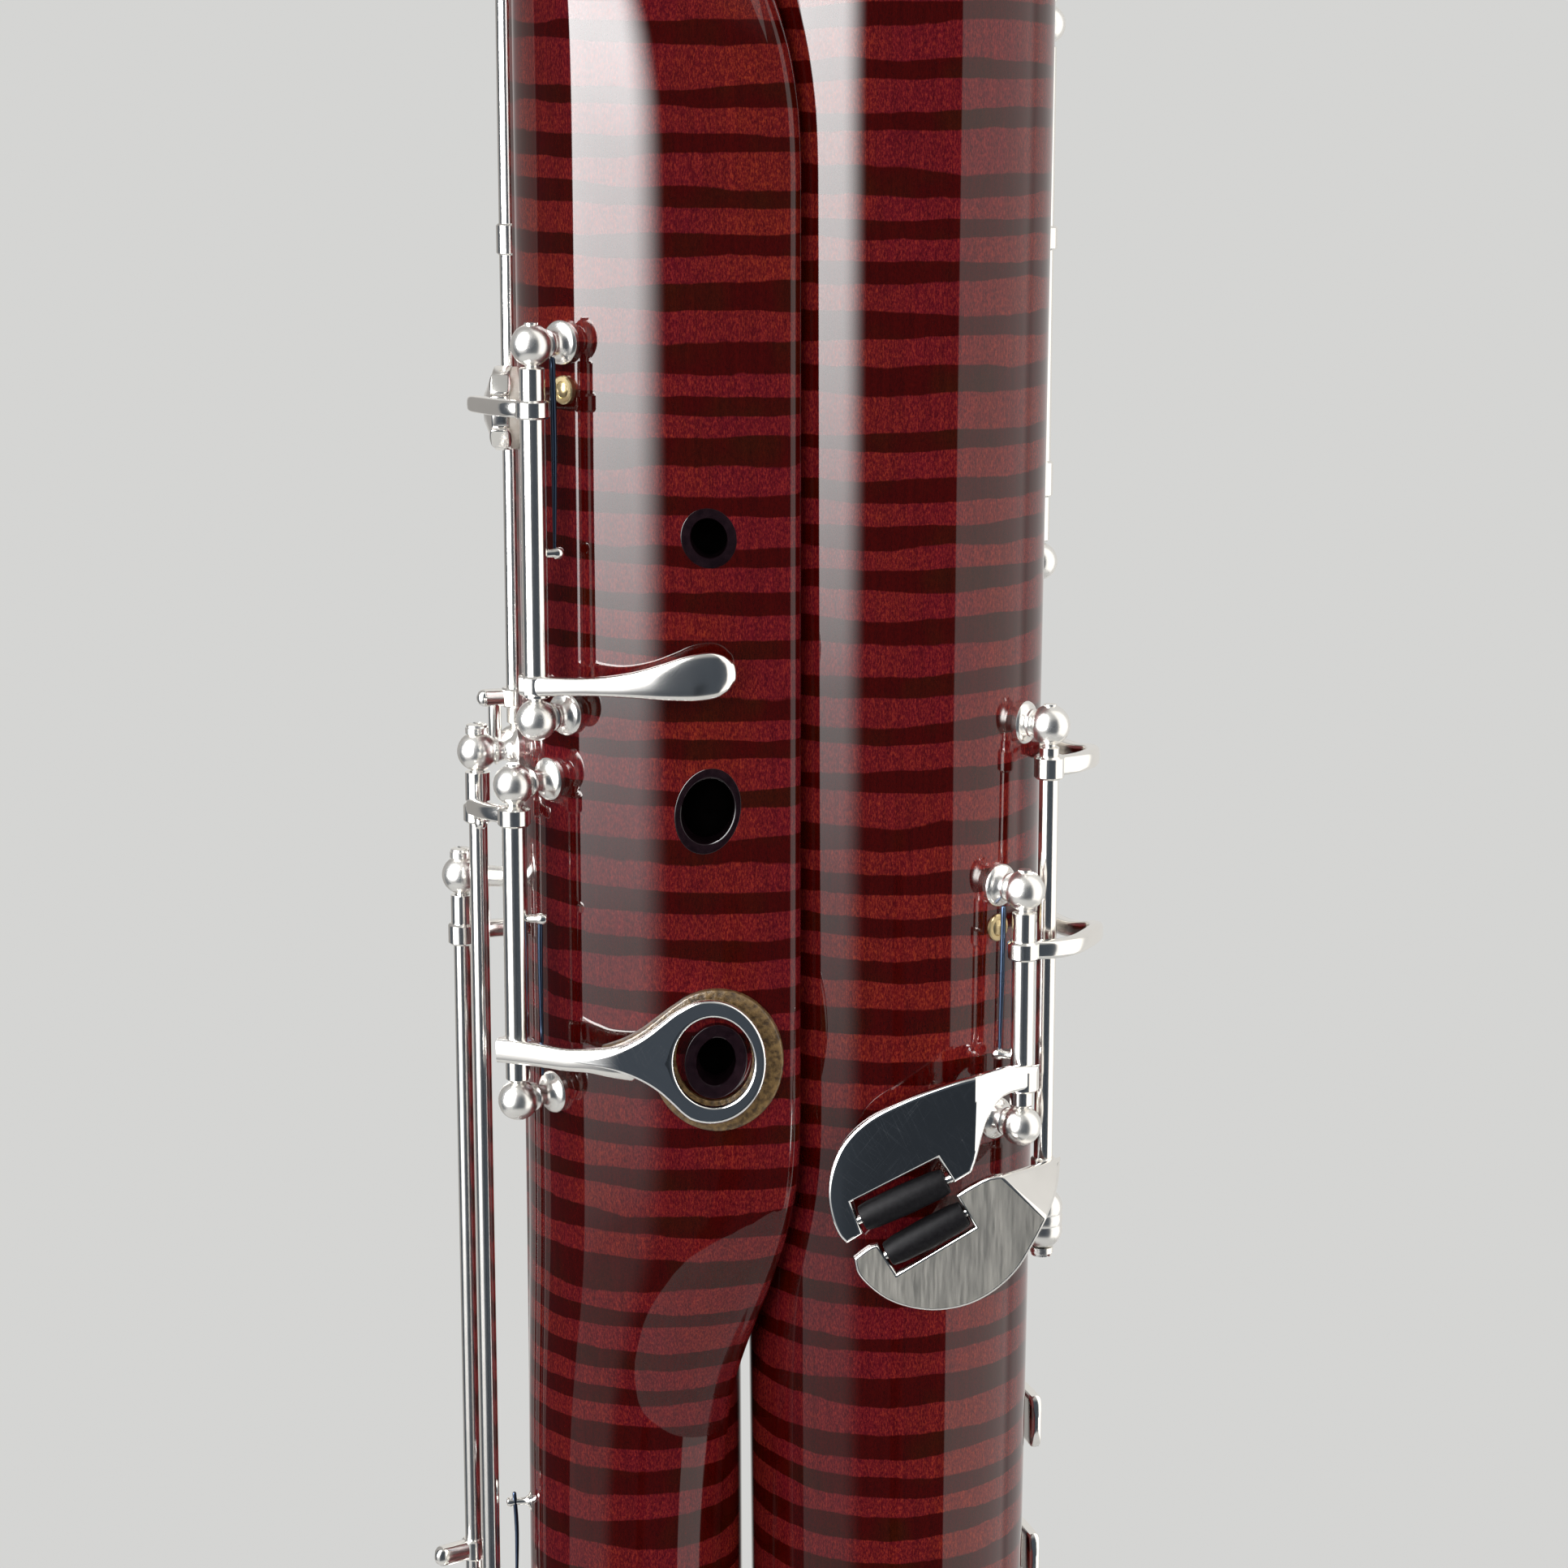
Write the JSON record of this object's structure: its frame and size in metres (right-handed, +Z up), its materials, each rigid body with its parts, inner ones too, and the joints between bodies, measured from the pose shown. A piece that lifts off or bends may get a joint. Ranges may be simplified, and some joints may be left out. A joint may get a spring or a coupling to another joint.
{
  "type": "bassoon",
  "caption": "Folded double-reed woodwind: oval boot, tenor and bass joints side by side, bell, curved crook, reed and hinged rod-and-post keywork.",
  "frame": {"origin": "middle of the boot cap's flat underside", "axes": "+Z up the bores, +X from the wing joint to the bass joint, -Y the finger-hole side"},
  "size_m": [0.1506, 0.2765, 1.3453],
  "materials": {
    "silver_plate": "polished silver plate",
    "red_maple": "high-gloss red-stained figured maple",
    "hard_rubber": "polished black hard rubber",
    "roller_black": "satin black",
    "cork": "raw cork",
    "pad_skin": "soft cream leather",
    "blued_steel": "blued spring steel",
    "ivory_plastic": "polished off-white plastic",
    "cane": "scraped cane"
  },
  "bodies": {
    "instrument": {"boot_body": "red_maple", "boot_top_band": "silver_plate", "boot_cap": "silver_plate", "u_bend": "silver_plate", "wing_joint": "red_maple", "wing_liner": "hard_rubber", "wing_top_ring": "silver_plate", "wing_tenon_cork": "cork", "bass_joint": "red_maple", "bass_tenon_cork": "cork", "bell": "red_maple", "bell_ring": "ivory_plastic", "bell_band": "silver_plate", "trill_key_posts": "silver_plate", "trill_key_spring": "blued_steel", "ring_key_posts": "silver_plate", "ring_key_pad": "cork", "ring_key_spring": "blued_steel", "link_key_posts": "silver_plate", "boot_link_posts": "silver_plate", "spring_hook": "silver_plate", "whisper_key_posts": "silver_plate", "wing_thumb_posts": "silver_plate", "e_flat_posts": "silver_plate", "e_flat_spring": "blued_steel", "c_sharp_posts": "silver_plate", "bass_long_posts": "silver_plate", "bass_thumb_posts": "silver_plate", "bell_key_posts": "silver_plate", "boot_front_posts": "silver_plate", "f_key_posts": "silver_plate", "boot_back_posts": "silver_plate"},
    "trill": {"trill_key": "silver_plate", "trill_key_pad": "pad_skin"},
    "ring": {"ring_key": "silver_plate"},
    "link": {"link_key": "silver_plate"},
    "boot_link": {"boot_link_key": "silver_plate"},
    "whisper": {"whisper_key": "silver_plate"},
    "high_c": {"high_c_key": "silver_plate"},
    "high_a": {"high_a_key": "silver_plate"},
    "e_flat": {"e_flat_key": "silver_plate", "e_flat_pad": "pad_skin"},
    "e_flat_roll": {"e_flat_roller": "roller_black"},
    "c_sharp": {"c_sharp_key": "silver_plate", "c_sharp_pad": "pad_skin"},
    "c_sharp_roll": {"c_sharp_roller": "roller_black"},
    "low_c": {"low_c_key": "silver_plate"},
    "low_b": {"low_b_key": "silver_plate"},
    "low_d": {"low_d_key": "silver_plate"},
    "low_b_flat": {"low_b_flat_key": "silver_plate"},
    "bell_lever": {"bell_key": "silver_plate"},
    "a_flat": {"a_flat_key": "silver_plate"},
    "g": {"g_key": "silver_plate"},
    "f": {"f_key": "silver_plate"},
    "pancake": {"pancake_key": "silver_plate"},
    "b_flat": {"b_flat_key": "silver_plate"},
    "crook": {"bocal": "silver_plate", "bocal_cork": "cork", "reed": "cane"}
  },
  "joints": [
    {"name": "trill_key_hinge", "type": "hinge", "parent": "instrument", "child": "trill", "pos_m": [-0.0298, -0.02, 0.6229], "axis": [0, 0, 1], "range_deg": [0, 4]},
    {"name": "ring_key_hinge", "type": "hinge", "parent": "instrument", "child": "ring", "pos_m": [-0.0333, -0.017, 0.5662], "axis": [0, 0, 1], "range_deg": [0, 1.2]},
    {"name": "link_key_hinge", "type": "hinge", "parent": "instrument", "child": "link", "pos_m": [-0.0394, -0.003, 0.521], "axis": [0, 0, 1], "range_deg": [-2.5, 0]},
    {"name": "boot_link_hinge", "type": "hinge", "parent": "instrument", "child": "boot_link", "pos_m": [-0.0427, 0.0055, 0.511], "axis": [0, 0, 1], "range_deg": [0, 5]},
    {"name": "whisper_key_hinge", "type": "hinge", "parent": "instrument", "child": "whisper", "pos_m": [-0.0353, 0.015, 0.738], "axis": [0, 0, 1], "range_deg": [-3, 0]},
    {"name": "high_c_hinge", "type": "hinge", "parent": "instrument", "child": "high_c", "pos_m": [-0.0066, 0.02035, 0.7225], "axis": [0, 0, 1], "range_deg": [-4.5, 0]},
    {"name": "high_a_hinge", "type": "hinge", "parent": "instrument", "child": "high_a", "pos_m": [-0.0066, 0.02035, 0.7675], "axis": [0, 0, 1], "range_deg": [-4.5, 0]},
    {"name": "e_flat_hinge", "type": "hinge", "parent": "instrument", "child": "e_flat", "pos_m": [0.036, -0.0188, 0.5575], "axis": [0, 0, 1], "range_deg": [-4, 0]},
    {"name": "c_sharp_hinge", "type": "hinge", "parent": "instrument", "child": "c_sharp", "pos_m": [0.0395, -0.0137, 0.561], "axis": [0, 0, 1], "range_deg": [-3.5, 0]},
    {"name": "low_c_hinge", "type": "hinge", "parent": "instrument", "child": "low_c", "pos_m": [0.0399, 0.0185, 0.6517], "axis": [0, 0, 1], "range_deg": [0, 3]},
    {"name": "low_b_hinge", "type": "hinge", "parent": "instrument", "child": "low_b", "pos_m": [0.0399, 0.0185, 0.7697], "axis": [0, 0, 1], "range_deg": [0, 3]},
    {"name": "low_d_hinge", "type": "hinge", "parent": "instrument", "child": "low_d", "pos_m": [0.01595, 0.0274, 0.4647], "axis": [0, 0, 1], "range_deg": [-2.5, 0]},
    {"name": "low_b_flat_hinge", "type": "hinge", "parent": "instrument", "child": "low_b_flat", "pos_m": [0.01595, 0.0274, 0.738], "axis": [0, 0, 1], "range_deg": [-2.5, 0]},
    {"name": "bell_lever_hinge", "type": "hinge", "parent": "instrument", "child": "bell_lever", "pos_m": [0.0415, 0.01985, 1.086], "axis": [0, 0, 1], "range_deg": [0, 3]},
    {"name": "a_flat_hinge", "type": "hinge", "parent": "instrument", "child": "a_flat", "pos_m": [0.005, -0.028, 0.195], "axis": [0, 0, 1], "range_deg": [-5, 0]},
    {"name": "g_hinge", "type": "hinge", "parent": "instrument", "child": "g", "pos_m": [0.005, -0.028, 0.282], "axis": [0, 0, 1], "range_deg": [-2.4, 0]},
    {"name": "f_hinge", "type": "hinge", "parent": "instrument", "child": "f", "pos_m": [0.001, -0.028, 0.1], "axis": [0, 0, 1], "range_deg": [-5, 0]},
    {"name": "pancake_hinge", "type": "hinge", "parent": "instrument", "child": "pancake", "pos_m": [-0.002, 0.028, 0.185], "axis": [0, 0, 1], "range_deg": [-2.4, 0]},
    {"name": "b_flat_hinge", "type": "hinge", "parent": "instrument", "child": "b_flat", "pos_m": [-0.002, 0.028, 0.28], "axis": [0, 0, 1], "range_deg": [-5, 0]},
    {"name": "crook_swivel", "type": "hinge", "parent": "instrument", "child": "crook", "pos_m": [-0.01835, 0, 0.897], "axis": [0, 0, 1], "range_deg": [-20, 20]},
    {"name": "e_flat_roller_spin", "type": "hinge", "parent": "e_flat", "child": "e_flat_roll", "pos_m": [0.01975, -0.0247, 0.53212], "axis": [0.9035, 0, 0.4286], "continuous": true},
    {"name": "c_sharp_roller_spin", "type": "hinge", "parent": "c_sharp", "child": "c_sharp_roll", "pos_m": [0.02285, -0.0247, 0.52728], "axis": [0.8705, 0, 0.4922], "continuous": true}
  ],
  "couplings": [
    {"joint": "link_key_hinge", "follows": "ring_key_hinge", "ratio": -2},
    {"joint": "bell_lever_hinge", "follows": "low_b_flat_hinge", "ratio": -1.15}
  ]
}
